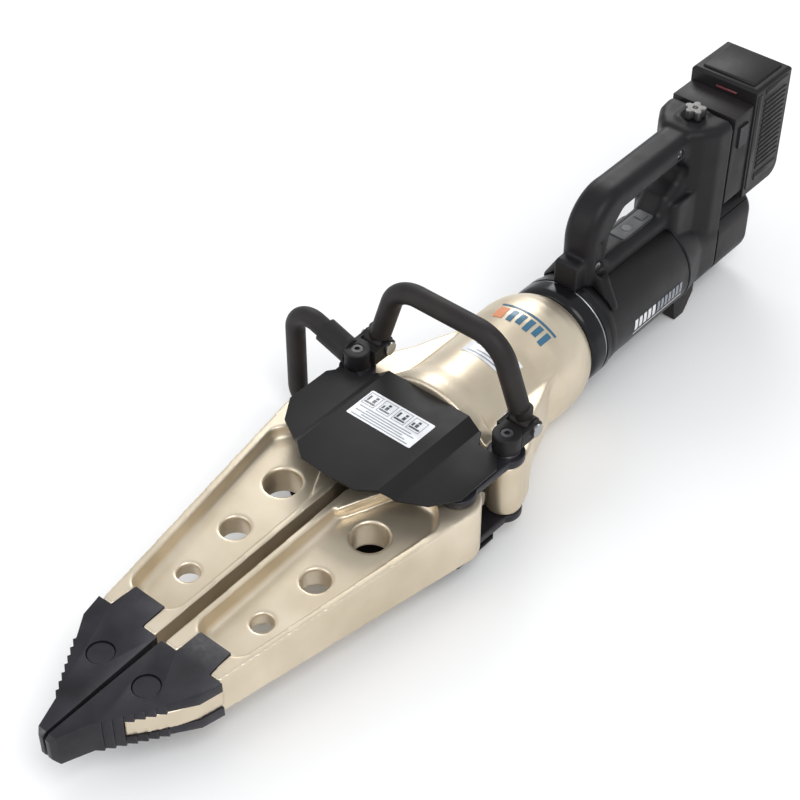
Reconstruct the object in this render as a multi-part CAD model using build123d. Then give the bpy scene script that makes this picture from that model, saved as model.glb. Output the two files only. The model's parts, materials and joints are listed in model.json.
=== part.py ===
from build123d import *
import os
from math import atan2, cos, degrees, radians, sin

# ---------------------------------------------------------------------------
# Battery rescue spreader. Millimetres. The tool is drawn in its own frame:
# X = 0 at the tips' front and +X towards the battery, +Y to the operator's
# right, +Z up, Z = 0 on the centre line of the hydraulic cylinder. At the end
# everything is moved so that the origin is the bottom centre of its box.
# ---------------------------------------------------------------------------

# Spreader arms, given for the right-hand (+Y) one
ARM_INNER_Y = 5.5            # half of the gap between the closed arms
ARM_OUTER_Y0 = 46.7          # outer side line: Y = ARM_OUTER_Y0 + ARM_FLARE * X
ARM_FLARE = 0.16
ARM_HALF_Z0 = 15.2           # half height: ARM_HALF_Z0 + ARM_TAPER * X
ARM_TAPER = 0.035
EAR_HALF = 28.5              # half height of the rear ears
TIP_REAR_X = 122.0
ARM_HOLES = ((194.7, 42.5, 9.8, 13.4), (254.4, 46.5, 12.8, 16.8), (318.0, 50.4, 16.8, 21.4))
RUN = 0.06                   # radial clearance of a running fit
GAP = 0.3                    # gap between faces that move past each other

# Pivots: P inner (on the crosshead), Q outer (on the link), K knuckle
P = (412.0, 38.0)
Q = (392.0, 84.0)
K = (457.0, 86.0)
OUTER_PIN_R = 9.0
INNER_PIN_R = 7.0
INNER_BORE_R = 10.2          # opened pivot: room for the linkage's small misfit
INNER_PIN = (P[0] + 0.17, P[1] - 2.54)   # where the pin stands in that bore, closed
P_EAR_R = 16.0
HUB_HALF = 33.0              # half height of the arm's hub round P
CROSS_EYE_R = 13.0
CROSS_HALF = 11.0

# Links: two straps each side, above and below the ears
LINK_Z0 = EAR_HALF + GAP
LINK_T = 8.0
LINK_EYE_R = 17.0
LINK_WAIST = 12.5

# Tips
TIP_SLOT_HALF = 9.5
TIP_SLOT_X = 50.0
TIP_PIN = (83.0, 26.0)
TIP_PIN_HEAD_R = 11.5
TIP_PIN_R = 5.0
TIP_PIN_SEAT_Z = 11.2        # floor of the counterbore for the pin's head
TIP_PIN_SUNK = 1.1           # how far the head lies below the tip's face
TEETH = 7
TOOTH_OUT = (4.7, 5.8)       # one tooth's outward face, along X and Y
TOOTH_BACK = (2.44, -1.23)   # and its short face back towards the arm

# Front housing and hydraulic cylinder
FLANGE_X = (455.0, 469.0)
FLANGE_R = 62.0
COLLAR_R = 62.0
NECK_R = 57.0
KNUCKLE_R = 16.8
HOUSING_END_X = 637.0
BORE_R = 40.0
BORE_X = (512.0, 622.0)
ROD_R = 14.0
PISTON_X = (588.0, 612.0)

# Motor tube and rear body
RING_X = (637.0, 667.0)
RING_R = 53.5
TUBE_R = 50.0
TUBE_WALL = 3.5
TUBE_END_X = 802.0
BODY_X = (802.0, 870.0)
BODY_HALF_Y = 38.0
BASE_END_X = 936.0
HANDLE_HALF_Y = 18.0
GRIP_ROUNDING = 11.0
SHELL_WALL = 3.0
KNOB = (853.0, -3.0)
SWITCH_X = (738.0, 789.0)
SWITCH_HALF_Y = 9.0
SWITCH_Z = (53.0, 66.0)
HANDLE_SCREWS = ((686.0, 67.0), (812.0, 129.0))
SCREW_SEAT_Y = HANDLE_HALF_Y - 3.5

# Battery
BATTERY_X = (908.0, 972.0)
BATTERY_Z = (36.0, 162.0)
BATTERY_HALF_Y = 38.0
ADAPTER_X0 = 875.0

# Carrying handles
TUBE_HANDLE_R = 10.0
BAIL_PIVOT = (483.0, 84.0, 50.0)
BAIL_TOP = (479.0, 57.0, 131.0)
SIDE_HANDLE_R = 9.5
SIDE_HANDLE_START = (102.0, 51.0)
SOCKET_R = 12.2
SIDE_HANDLE_TOP = (163.0, 71.0)
SIDE_HANDLE_LOW_Z = -50.0

# Covers
COVER_TOP_Z = 55.0
COVER_T = 2.5
COVER_SCREW_Y = 22.0
COVER_SCREW_Z = 46.0
FLOOR_Z = -62.0


# --- helpers ---------------------------------------------------------------

def box(x0, x1, y0, y1, z0, z1):
    return Pos((x0 + x1) / 2, (y0 + y1) / 2, (z0 + z1) / 2) * Box(x1 - x0, y1 - y0, z1 - z0)


def post(x, y, z0, z1, radius):
    return Pos(x, y, (z0 + z1) / 2) * Cylinder(radius, z1 - z0)


def shaft_x(x0, x1, radius, y=0.0, z=0.0):
    return Pos((x0 + x1) / 2, y, z) * Rot(0, 90, 0) * Cylinder(radius, x1 - x0)


def shaft_y(x, y0, y1, z, radius):
    return Pos(x, (y0 + y1) / 2, z) * Rot(90, 0, 0) * Cylinder(radius, y1 - y0)


def plan(points, z0, z1):
    face = make_face(Polyline(*points, close=True))
    return Pos(0, 0, z0) * extrude(face, z1 - z0, dir=(0, 0, 1))


def side_profile(points, y0, y1):
    line = Polyline(*[(x, y0, z) for x, z in points], close=True)
    return extrude(make_face(line), y1 - y0, dir=(0, 1, 0))


def cross_profile(points, x0, x1):
    line = Polyline(*[(x0, y, z) for y, z in points], close=True)
    return extrude(make_face(line), x1 - x0, dir=(1, 0, 0))


def turned(points):
    return revolve(make_face(Polyline(*points, close=True)), Axis.X)


def other_side(shape):
    return mirror(shape, about=Plane.XZ)


def below(shape):
    return mirror(shape, about=Plane.XY)


def ring_at(x, y, z0, z1, outer, inner):
    return post(x, y, z0, z1, outer) - post(x, y, z0 - 1, z1 + 1, inner)


def screw(radius, head_r, length, head_h):
    """A socket screw pointing down, its head standing on Z = 0."""
    body = Pos(0, 0, -length / 2) * Cylinder(radius, length)
    head = Pos(0, 0, head_h / 2) * Cylinder(head_r, head_h)
    socket = Pos(0, 0, head_h) * extrude(RegularPolygon(head_r * 0.5, 6), head_h * 0.6, both=True)
    return body + head - socket


def lobe(first, second):
    """Tapered round form between two balls, each given as x, y, z and radius."""
    start, end = Vector(*first[:3]), Vector(*second[:3])
    stem = Cone(first[3], second[3], (end - start).length, align=(Align.CENTER, Align.CENTER, Align.MIN))
    stem = Plane(origin=start, z_dir=end - start) * stem
    return stem + Pos(start) * Sphere(first[3]) + Pos(end) * Sphere(second[3])


def bent_tube(points, bend, radius):
    path = FilletPolyline(*points, radius=bend)
    start = Plane(origin=path @ 0, z_dir=path % 0)
    return sweep(start * Circle(radius), path=path)


# --- spreader tips ---------------------------------------------------------

def tip_outline():
    """Right tip seen from above, with the teeth along its outer edge."""
    points = [(0.0, 1.4), (0.0, 6.0), (4.0, 10.0), (30.5, 19.8)]
    for _ in range(TEETH):
        x, y = points[-1]
        peak = (x + TOOTH_OUT[0], y + TOOTH_OUT[1])
        points += [peak, (peak[0] + TOOTH_BACK[0], peak[1] + TOOTH_BACK[1])]
    points += [(101.0, 65.6), (TIP_REAR_X, 70.0), (TIP_REAR_X, 56.0)]
    points += [(148.0, 54.0), (148.0, 20.5), (TIP_REAR_X, 19.5), (TIP_REAR_X, 2.6)]
    return points


def tip():
    raw = plan(tip_outline(), -30, 30)
    rear = ARM_HALF_Z0 + ARM_TAPER * 150
    flat = ARM_HALF_Z0 + 0.2
    nose = [(0, -9), (4.5, -flat), (150, -rear), (150, rear), (4.5, flat), (0, 12)]
    shape = raw & side_profile(nose, -5, 80)
    shape -= box(TIP_SLOT_X, 160, -5, 80, -TIP_SLOT_HALF, TIP_SLOT_HALF)
    px, py = TIP_PIN
    shape -= post(px, py, TIP_PIN_SEAT_Z, 30, TIP_PIN_HEAD_R + 0.4)
    shape -= post(px, py, -30, 30, TIP_PIN_R + RUN)
    return shape


def tip_pin():
    px, py = TIP_PIN
    top = ARM_HALF_Z0 + ARM_TAPER * px - TIP_PIN_SUNK
    head = post(px, py, top - 2.2, top, TIP_PIN_HEAD_R)
    head = fillet(head.edges().group_by(Axis.Z)[-1], 1.0)
    return head + post(px, py, -13.0, top - 1.8, TIP_PIN_R)


def tip_spring():
    px, py = TIP_PIN
    return ring_at(px, py, TIP_PIN_SEAT_Z + 0.05, TIP_PIN_SEAT_Z + 1.0, 9.5, TIP_PIN_R + 0.6)


# --- spreader arms ---------------------------------------------------------

def arm_outline():
    x1 = 384.0
    y1 = ARM_OUTER_Y0 + ARM_FLARE * x1
    x0 = TIP_REAR_X + 0.2
    y0 = ARM_OUTER_Y0 + ARM_FLARE * x0

    def around(centre, radius, angle):
        a = radians(angle)
        return (centre[0] + radius * cos(a), centre[1] + radius * sin(a))

    p_in = around(P, P_EAR_R, -110)
    p_mid = around(P, P_EAR_R, -30)
    p_out = around(P, P_EAR_R, 40)
    q_in = around(Q, 20.0, -20)
    edges = [
        Line((x0, ARM_INNER_Y), (335, ARM_INNER_Y)),
        Line((335, ARM_INNER_Y), p_in),
        ThreePointArc(p_in, p_mid, p_out),
        Line(p_out, q_in),
        ThreePointArc(q_in, (408, 97), (x1, y1)),
        Line((x1, y1), (x0, y0)),
        Line((x0, y0), (x0, ARM_INNER_Y)),
    ]
    return make_face(Wire(edges))


def arm_pocket():
    """Tapered pocket with rounded walls; its floor rises towards the rear."""
    corners = [(150, 15), (338, 15), (372, 34), (372, 78), (352, 92), (150, 59.5)]
    face = make_face(Polyline(*corners, close=True))
    face = fillet(face.vertices(), 13)
    cutter = extrude(face, 40, dir=(0, 0, 1), taper=-14)
    cutter = fillet(cutter.edges().group_by(Axis.Z)[0], 7)
    return Pos(0, 0, 4.0) * Pos(150, 0, 0) * Rot(0, -3.4, 0) * Pos(-150, 0, 0) * cutter


def arm_hole(x, y, radius, rim):
    hole = post(x, y, -40, 40, radius)
    floor = 4.0 + (x - 150) * 0.0594
    cone = Pos(x, y, floor + 8.5) * Cone(radius, rim + 7.0, 20)
    cone &= post(x, y, floor - 3, floor + 30, rim)
    return hole + cone + below(cone)


def arm_blank(half_height):
    return Pos(0, 0, -half_height) * extrude(arm_outline(), 2 * half_height, dir=(0, 0, 1))


def arm_hub():
    """Thicker boss round the inner pivot; it rises as a ramp from the arm."""
    ramp = side_profile([(316, -25), (396, -HUB_HALF), (440, -HUB_HALF),
                         (440, HUB_HALF), (396, HUB_HALF), (316, 25)], -5, 60)
    rim = P[1] + P_EAR_R
    ramp &= plan([(316, 0), (316, 15), (396, rim), (P[0], rim), (440, P[1]), (440, 0)], -40, 40)
    return ramp & arm_blank(40)


def arm():
    half_front = ARM_HALF_Z0 + ARM_TAPER * TIP_REAR_X
    wedge = [(120, -half_front), (380, -EAR_HALF), (440, -EAR_HALF),
             (440, EAR_HALF), (380, EAR_HALF), (120, half_front)]
    body = arm_blank(40) & side_profile(wedge, -5, 130)
    body -= arm_pocket()
    body -= below(arm_pocket())
    for x, y, radius, rim in ARM_HOLES:
        body -= arm_hole(x, y, radius, rim)
    body += arm_hub()
    # seat for the tip's tab, above and below the tongue
    seat = plan([(120, 19.3), (148.3, 20.2), (148.3, 54.3), (120, 56.3)], TIP_SLOT_HALF - 0.1, 40)
    body -= seat
    body -= below(seat)
    outer = [(52, 32), (69, 45), (85, 55.5), (101, 63.8), (123, 68.6)]
    tongue = plan([(52, 2.4)] + outer + [(123, 5.5), (118, 2.4)], -TIP_SLOT_HALF + 0.1, TIP_SLOT_HALF - 0.1)
    body += tongue
    body -= post(TIP_PIN[0], TIP_PIN[1], -20, 20, TIP_PIN_R + RUN)
    # slot for the crosshead, bores for the pins
    body -= post(P[0], P[1], -CROSS_HALF - 0.5, CROSS_HALF + 0.5, CROSS_EYE_R + 3.8)
    body -= box(395, 450, -1, P[1], -CROSS_HALF - 0.5, CROSS_HALF + 0.5)
    body -= post(P[0], P[1], -50, 50, INNER_BORE_R)
    body -= post(Q[0], Q[1], -50, 50, 12.02)
    return body


def arm_bush():
    return ring_at(Q[0], Q[1], -EAR_HALF + 0.1, EAR_HALF - 0.1, 12.0, OUTER_PIN_R + RUN)


# --- links and knuckle pins ------------------------------------------------

def strap(z0):
    dx = K[0] - Q[0]
    dy = K[1] - Q[1]
    length = (dx * dx + dy * dy) ** 0.5
    ux, uy = dx / length, dy / length
    w = LINK_WAIST
    bar = [(Q[0] - uy * w, Q[1] + ux * w), (K[0] - uy * w, K[1] + ux * w),
           (K[0] + uy * w, K[1] - ux * w), (Q[0] + uy * w, Q[1] - ux * w)]
    shape = plan(bar, z0, z0 + LINK_T)
    shape += post(Q[0], Q[1], z0, z0 + LINK_T, LINK_EYE_R)
    shape += post(K[0], K[1], z0, z0 + LINK_T, LINK_EYE_R)
    shape -= post(Q[0], Q[1], z0 - 1, z0 + LINK_T + 1, OUTER_PIN_R + 0.01)
    shape -= post(K[0], K[1], z0 - 1, z0 + LINK_T + 1, OUTER_PIN_R + RUN)
    return shape


def link_pin():
    top = LINK_Z0 + LINK_T
    pin = post(Q[0], Q[1], -top - 1.5, top + 1.5, OUTER_PIN_R)
    clip = ring_at(Q[0], Q[1], top + 0.1, top + 1.4, OUTER_PIN_R + 3, OUTER_PIN_R - 1)
    return pin + clip + below(clip)


def knuckle_pin():
    top = LINK_Z0 + LINK_T + GAP
    pin = post(K[0], K[1], -top - 3.5, top + 3.5, OUTER_PIN_R)
    head = post(K[0], K[1], top, top + 3.5, OUTER_PIN_R + 3.5)
    return pin + head + below(head)


# --- crosshead, rod and piston ---------------------------------------------

def crosshead():
    pin_x, pin_y = INNER_PIN
    front, rear = pin_x - CROSS_EYE_R, pin_x + CROSS_EYE_R
    shape = box(front, rear, -pin_y, pin_y, -CROSS_HALF, CROSS_HALF)
    for side in (1, -1):
        shape += post(pin_x, side * pin_y, -CROSS_HALF, CROSS_HALF, CROSS_EYE_R)
        shape -= post(pin_x, side * pin_y, -40, 40, INNER_PIN_R + 0.01)
    shape += shaft_x(rear - 1, 436, 18)
    shape -= shaft_x(420, 440, 10.0)
    return shape


def crosshead_pins():
    pins = [post(INNER_PIN[0], side * INNER_PIN[1], -34.5, 34.5, INNER_PIN_R) for side in (1, -1)]
    return Compound(children=pins)


def piston_rod():
    rod = shaft_x(436.05, PISTON_X[0], ROD_R)
    rod += shaft_x(421, 437, 9.98)
    rod += shaft_x(PISTON_X[0] - 1, PISTON_X[1] + 4, 9.0)
    return rod


def piston():
    shape = shaft_x(PISTON_X[0] + 0.05, PISTON_X[1], BORE_R - 0.1)
    shape -= shaft_x(PISTON_X[0] - 1, PISTON_X[1] + 1, 9.02)
    shape -= shaft_x(596, 604, BORE_R + 1) - shaft_x(595, 605, BORE_R - 4)
    return shape


def piston_seal():
    return shaft_x(596.1, 603.9, BORE_R - 0.04) - shaft_x(595, 605, BORE_R - 3.98)


def piston_nut():
    x0 = PISTON_X[1] + 0.05
    nut = Pos(x0, 0, 0) * Rot(0, 90, 0) * extrude(RegularPolygon(13, 6), 4)
    return nut - shaft_x(x0 - 2, x0 + 8, 9.02)


# --- front housing ---------------------------------------------------------

def front_housing():
    profile = [(469, 0), (469, 62), (474, 61), (486, 58), (500, NECK_R), (556, NECK_R), (572, 60),
               (582, COLLAR_R), (604, COLLAR_R), (616, 60), (627, 56), (634, 51.5), (637, 49), (637, 0)]
    body = turned(profile)
    # front flange: a round plate drawn out to both knuckles
    plate_half = 96.0
    hull_points = [(34, 52), (50, 40), (64, EAR_HALF), (plate_half, EAR_HALF),
                   (plate_half, -EAR_HALF), (64, -EAR_HALF), (50, -40), (34, -52)]
    hull_points += [(-y, z) for y, z in reversed(hull_points)]
    flange = shaft_x(FLANGE_X[0], FLANGE_X[1] + 1, FLANGE_R) + cross_profile(hull_points, FLANGE_X[0], 472)
    body += flange
    for side in (1, -1):
        web = [(600, 50), (562, 56), (537, 66), (520, 71.5), (500, 83), (482, 95), (468, 100.5),
               (K[0], K[1] + 10), (K[0], K[1] - 10), (460, 60), (460, 20), (600, 20)]
        body += plan([(x, side * y) for x, y in web], -EAR_HALF, EAR_HALF)
        body += post(K[0], side * K[1], -EAR_HALF, EAR_HALF, KNUCKLE_R)
        body -= post(K[0], side * K[1], -50, 50, OUTER_PIN_R + 0.01)
    # cylinder bore, rod bore and the seats of bush and seal
    body -= shaft_x(BORE_X[0], 640, BORE_R)
    body -= shaft_x(440, 520, 18.0)
    body -= shaft_x(440, 465, 22.0)
    for side in (1, -1):
        for level in (1, -1):
            body -= shaft_x(450, 466, 3.0, side * COVER_SCREW_Y, level * COVER_SCREW_Z)
    return body


def rod_bush():
    return shaft_x(465.1, 511.9, 17.98) - shaft_x(460, 520, ROD_R + RUN)


def rod_seal():
    return shaft_x(455.2, 464.9, 21.95) - shaft_x(450, 470, ROD_R + RUN)


def cylinder_head():
    head = shaft_x(BORE_X[1], 636.9, BORE_R - 0.02) + shaft_x(637.05, 645, 43)
    head += shaft_x(630, 640, 36)
    return head - shaft_x(600, 650, 5)


def flange_ring():
    profile = [(637.05, 43.2), (637.05, 49), (641, 52.5), (644, RING_R), (659, RING_R), (660, 51.5),
               (662, 51.5), (663, RING_R), (666, RING_R - 1), (666.95, 50.5), (666.95, 43.2)]
    return turned(profile)


# --- motor tube ------------------------------------------------------------

def motor_tube():
    profile = [(667, 46.5), (667, 50.5), (672, 51.5), (676, 51.5), (680, TUBE_R), (TUBE_END_X, TUBE_R),
               (TUBE_END_X, TUBE_R - TUBE_WALL), (670, TUBE_R - TUBE_WALL)]
    return turned(profile)


def pump_block():
    block = shaft_x(645.1, 690, 38)
    block -= shaft_x(640, 660, 5)
    for angle in range(0, 360, 60):
        block += Rot(angle, 0, 0) * post(668, 0, 36, 41, 5)
    return block


def electric_motor():
    can = shaft_x(692, 782, 36)
    can += shaft_x(690.05, 692, 18)
    can += shaft_x(782, 788, 14)
    for angle in range(0, 360, 30):
        can -= Rot(angle, 0, 0) * box(700, 712, -3, 3, 33, 40)
    return can


# --- handle and rear body --------------------------------------------------

def handle_outline():
    """Side view of the D-handle's loop, from the flange ring to the rear pillar."""
    edges = [
        Line((668, 40), (668, 92)),
        ThreePointArc((668, 92), (681, 127), (722, 141.5)),
        Line((722, 141.5), (826, 143)),
        Line((826, 143), (842, 149)),
        Line((842, 149), (868, 149)),
        Line((868, 149), (868, 40)),
        Line((868, 40), (668, 40)),
    ]
    return make_face(Wire(edges))


def handle_opening():
    corners = [(700, 66), (704, 96), (722, 113), (818, 116), (828, 104), (818, 90), (800, 82), (790, 66)]
    opening = make_face(Polyline(*corners, close=True))
    return fillet(opening.vertices(), 6)


def rear_section():
    """Lower rear body: it runs from the tube's round end to a rounded rectangle."""
    round_end = Plane.YZ.offset(BODY_X[0] + 0.1) * Circle(TUBE_R + 1)
    square_end = Plane.YZ.offset(838) * Pos(0, -6) * RectangleRounded(2 * BODY_HALF_Y + 2, 80, 26)
    neck = loft([round_end, square_end])
    return neck + extrude(square_end, BASE_END_X - 838, dir=(1, 0, 0))


def grip_loop():
    """The rounded loop that the hand holds."""
    loop = extrude(Plane.XZ * (handle_outline() - handle_opening()), HANDLE_HALF_Y, both=True)
    flat = [e for e in loop.edges() if e.bounding_box().size.Y < 0.01]
    rim = [e for e in flat if e.center().Z > 60 and e.center().X < BODY_X[1] - 4]
    return fillet(rim, GRIP_ROUNDING)


def rear_pillar():
    """Upright body behind the grip; it widens from the grip to the battery."""
    half = [(824, 16), (836, 27), (852, 36), (BODY_X[1], BODY_HALF_Y)]
    pillar = plan(half + [(x, -y) for x, y in reversed(half)], -10, 146)
    pillar = fillet(pillar.edges().filter_by(Axis.Z).filter_by(lambda e: e.center().X < 860), 9)
    rim = pillar.edges().group_by(Axis.Z)[-1].filter_by(lambda e: e.center().X < BODY_X[1] - 1)
    pillar = fillet(rim, 9)
    guard = box(798, 842, -26, 26, 30, 78)
    guard = fillet(guard.edges().group_by(Axis.X)[0], 12)
    scoop = Pos(810, 0, 102) * scale(Sphere(20), (1.0, 1.9, 0.85))
    return pillar + guard - (scoop - grip_loop())


def handle_solid():
    collar = box(654, 672, -13, 13, 44, 82)
    collar = fillet(collar.edges().group_by(Axis.Z)[-1], 4)
    body = grip_loop() + collar + rear_pillar()
    for side in (1, -1):
        body += lobe((686, side * 8, 74, 9.9), (683, side * 35.4, 31.5, 7.5))
    body += rear_section() & box(BODY_X[0], BODY_X[1], -60, 60, -60, 60)
    body -= shaft_x(600, BODY_X[0], TUBE_R + 0.1)
    body -= shaft_x(600, 680, 51.6)
    body -= shaft_x(600, RING_X[1] + 0.2, RING_R + 0.1)
    for side in (1, -1):
        body -= teardrop(side)
    return body


def teardrop(side):
    """Pointed recess round the lower screw of the grip."""
    point = make_face(Polyline((682, 96), (690, 96), (693.5, 68), (678.5, 68), close=True))
    cut = extrude(Plane.XZ * (point + Pos(686, 67) * Circle(7.5)), 10, both=True)
    return Pos(0, side * (HANDLE_HALF_Y - 2.5 + 10), 0) * cut


def handle_cavity():
    x0, x1 = BODY_X[0] - 1, BODY_X[1] - SHELL_WALL
    half = [(833.5, 19), (841, 24), (853, 33), (x1, BODY_HALF_Y - SHELL_WALL)]
    cavity = plan(half + [(x, -y) for x, y in reversed(half)], 0, 126)
    cavity += box(x0, x1, -33, 33, -33, 8)
    grip = [(676, 56), (676, 94), (685, 112), (700, 124), (724, 132), (826, 134), (826, 124), (722, 121),
            (704, 113), (695, 97), (692, 56)]
    cavity += side_profile(grip, -HANDLE_HALF_Y + 7, HANDLE_HALF_Y - 7)
    for x, z in HANDLE_SCREWS:
        cavity -= shaft_y(x, -20, 20, z, 6)
    return cavity


def handle_shell(side):
    half = box(640, 900, 0, 80, -80, 200) if side > 0 else box(640, 900, -80, -0.05, -80, 200)
    shell = (handle_solid() - handle_cavity()) & half
    shell -= post(KNOB[0], KNOB[1], 120, 160, 4.5 + 0.3)
    shell -= post(KNOB[0], KNOB[1], 146.5, 160, 13.0)
    shell -= box(SWITCH_X[0], SWITCH_X[1], -SWITCH_HALF_Y - 0.1, SWITCH_HALF_Y + 0.1, SWITCH_Z[0], 70)
    for x, z in HANDLE_SCREWS:
        if side > 0:
            shell -= shaft_y(x, -1, SCREW_SEAT_Y, z, 2.0)
        else:
            shell -= shaft_y(x, -80, 1, z, 2.6)
            shell -= shaft_y(x, -80, -SCREW_SEAT_Y + 2, z, 4.6)
    return shell


def handle_screws():
    screws = []
    for x, z in HANDLE_SCREWS:
        one = Rot(90, 0, 0) * screw(1.95, 4.3, 24, 2.8)
        screws.append(Pos(x, -SCREW_SEAT_Y + 2, z) * one)
    return Compound(children=screws)


def switch_panel():
    panel = box(SWITCH_X[0], SWITCH_X[1], -SWITCH_HALF_Y, SWITCH_HALF_Y, SWITCH_Z[0] + 0.1, SWITCH_Z[1])
    panel = fillet(panel.edges().filter_by(Axis.Z), 2.5)
    panel -= box(774, 785, -5.1, 5.1, 60, 70)
    panel -= post(755, 0, 64.5, 70, 5)
    return panel


def power_button():
    return fillet(box(774.2, 784.8, -4.9, 4.9, 62.4, 67.2).edges().filter_by(Axis.Z), 1.5)


def status_lens():
    return post(755, 0, 64.55, 66.3, 4.95)


def rear_base():
    """Closed base under the battery, behind the handle shells."""
    base = rear_section() & box(BODY_X[1] + 0.1, BASE_END_X, -60, 60, -60, 60)
    base = fillet(base.edges().group_by(Axis.X)[-1], 12)
    inner = box(BODY_X[1] - 1, BASE_END_X - 8, -34, 34, -38, 24)
    return base - inner


def rear_foot(side):
    """Wedge-shaped foot under the front of the rear body."""
    wedge = side_profile([(800, -30), (806, FLOOR_Z), (822, FLOOR_Z), (836, -42), (836, -30)],
                         side * 30 - 6.5, side * 30 + 6.5)
    wedge = fillet(wedge.edges().filter_by(Axis.Y).group_by(Axis.Z)[0], 2)
    return wedge - rear_section() - shaft_x(780, BODY_X[0] + 0.2, TUBE_R + 1)


def control_board():
    board = box(822, 864, -30, 30, -20, -18.4)
    for x, y in ((830, -20), (842, 8), (855, 22), (852, -12)):
        board += box(x - 4, x + 4, y - 5, y + 5, -18.5, -14)
    return board


# --- control valve and star knob -------------------------------------------

def star_knob():
    hub = post(KNOB[0], KNOB[1], 147.2, 157, 7.5)
    for i in range(5):
        a = radians(90 + 72 * i)
        hub += post(KNOB[0] + 7.2 * cos(a), KNOB[1] + 7.2 * sin(a), 147.2, 157, 3.9)
    return hub - post(KNOB[0], KNOB[1], 155, 160, 2.5)


def valve_spindle():
    return post(KNOB[0], KNOB[1], 105.1, 147.15, 4.5)


def valve_body():
    body = box(834, 866, -18, 12, 76, 104.9)
    body += post(KNOB[0], KNOB[1], 104.9, 112, 9)
    return body - post(KNOB[0], KNOB[1], 104.9, 120, 4.5 + RUN)


def valve_spring():
    coils = [Pos(KNOB[0], KNOB[1], 113.5 + 2.4 * i) * Torus(6.6, 0.8) for i in range(5)]
    return Compound(children=coils)


# --- battery ---------------------------------------------------------------

def battery_dock():
    plate = box(BODY_X[1] + 0.1, ADAPTER_X0 - GAP, -30, 30, 36, 140)
    for side in (1, -1):
        plate += box(ADAPTER_X0 - 1, ADAPTER_X0 + 5, side * 19 - 2.5, side * 19 + 2.5, 44, 132)
        plate += box(ADAPTER_X0 + 3, ADAPTER_X0 + 6, side * 19 - 5, side * 19 + 5, 44, 132)
    return plate


def battery_adapter():
    block = box(ADAPTER_X0, BATTERY_X[0], -BATTERY_HALF_Y + 1.5, BATTERY_HALF_Y - 1.5, 42, 146)
    block = fillet(block.edges().filter_by(Axis.X).group_by(Axis.Z)[0], 6)
    for side in (1, -1):
        block -= box(ADAPTER_X0 - 1, ADAPTER_X0 + 6, side * 19 - 3, side * 19 + 3, 30, 134)
        block -= box(ADAPTER_X0 + 2.5, ADAPTER_X0 + 6.6, side * 19 - 5.5, side * 19 + 5.5, 30, 134)
    block -= box(ADAPTER_X0 - 1, ADAPTER_X0 + 9, -12, 12, 30, 90)
    block -= box(ADAPTER_X0 + 10, BATTERY_X[0] - 8, -28, 28, 50, 138)
    for side in (1, -1):
        block -= box(884, 900, *sorted((side * 29.5, side * 46)), 108, 132)
    return block


def battery_case():
    case = box(BATTERY_X[0] + 0.1, BATTERY_X[1], -BATTERY_HALF_Y, BATTERY_HALF_Y, *BATTERY_Z)
    case = fillet(case.edges().filter_by(Axis.Y).group_by(Axis.X)[-1].group_by(Axis.Z)[0], 14)
    case = fillet(case.edges().group_by(Axis.Z)[-1], 4)
    inner = box(BATTERY_X[0] + 3, BATTERY_X[1] - 3, -BATTERY_HALF_Y + 3, BATTERY_HALF_Y - 3,
                BATTERY_Z[0] + 6, BATTERY_Z[1] - 4)
    case -= inner
    for i in range(7):
        z = 58 + 14 * i
        case -= box(BATTERY_X[1] - 1.2, BATTERY_X[1] + 1, -30, 30, z, z + 4)
    return case


def battery_cells():
    cells = []
    for row in range(3):
        for column in range(5):
            cells.append(shaft_y(922.5 + 18.2 * row, -33, 32, 54 + 20.5 * column, 9.0))
    return Compound(children=cells)


def battery_latch():
    buttons = []
    for side in (1, -1):
        button = box(884.3, 899.7, side * 36 - 2.5, side * 36 + 2.5, 108.3, 131.7)
        buttons.append(button)
    return buttons


# --- covers ----------------------------------------------------------------

def cover():
    half = [(0, COVER_TOP_Z), (46, COVER_TOP_Z), (58, 44.5), (99, 43.0)]
    sheet = cross_profile(section_order(half), 310, 454.8)
    outline = [(320, 0), (322, 31), (340, 54), (356, 82), (380, 98), (428, 98), (441, 88),
               (441, 68), (454.8, 60)]
    outline += [(x, -y) for x, y in reversed(outline[1:])]
    sheet &= plan(outline, 20, 70)
    tab = box(452.2, 454.8, -32, 32, 40, COVER_TOP_Z - 1)
    for side in (1, -1):
        tab -= shaft_x(440, 470, 3.2, side * COVER_SCREW_Y, COVER_SCREW_Z)
    return sheet + tab


def section_order(half):
    """Closed outline of the folded sheet, from its upper line and thickness."""
    upper = [(-y, z) for y, z in reversed(half[1:])] + half
    lower = [(y, z - COVER_T) for y, z in reversed(upper)]
    return upper + lower


def cover_screws(level):
    screws = []
    for side in (1, -1):
        one = Rot(0, -90, 0) * screw(2.9, 5.0, 12, 4)
        screws.append(Pos(452.1, side * COVER_SCREW_Y, level * COVER_SCREW_Z) * one)
    return Compound(children=screws)


def cover_label():
    sheet = box(389, 425, -33, 39, COVER_TOP_Z + 0.02, COVER_TOP_Z + 0.4)
    return fillet(sheet.edges().filter_by(Axis.Z), 1.5)


# --- carrying handles ------------------------------------------------------

def bail_bracket():
    hub_z0 = LINK_Z0 + LINK_T + GAP + 3.6
    x, y, z = BAIL_PIVOT
    shape = post(K[0], K[1], hub_z0, 58, 13)
    shape = fillet(shape.edges().group_by(Axis.Z)[-1], 1.5)
    shape += box(K[0] + 6, x - 12.5, y - 14, y + 14, hub_z0 + 1, 57)
    for y0, y1 in ((y - 14, y - 10.4), (y + 10.4, y + 14)):
        shape += box(x - 13, x, y0, y1, hub_z0 + 1, 57)
        shape += shaft_y(x, y0, y1, z, 8.5)
    shape -= shaft_y(x, y - 20, y + 20, z, 4.01)
    shape -= post(K[0], K[1], 54.5, 60, 6)
    shape -= post(K[0], K[1], 30, 60, 3.1)
    return shape


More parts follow.
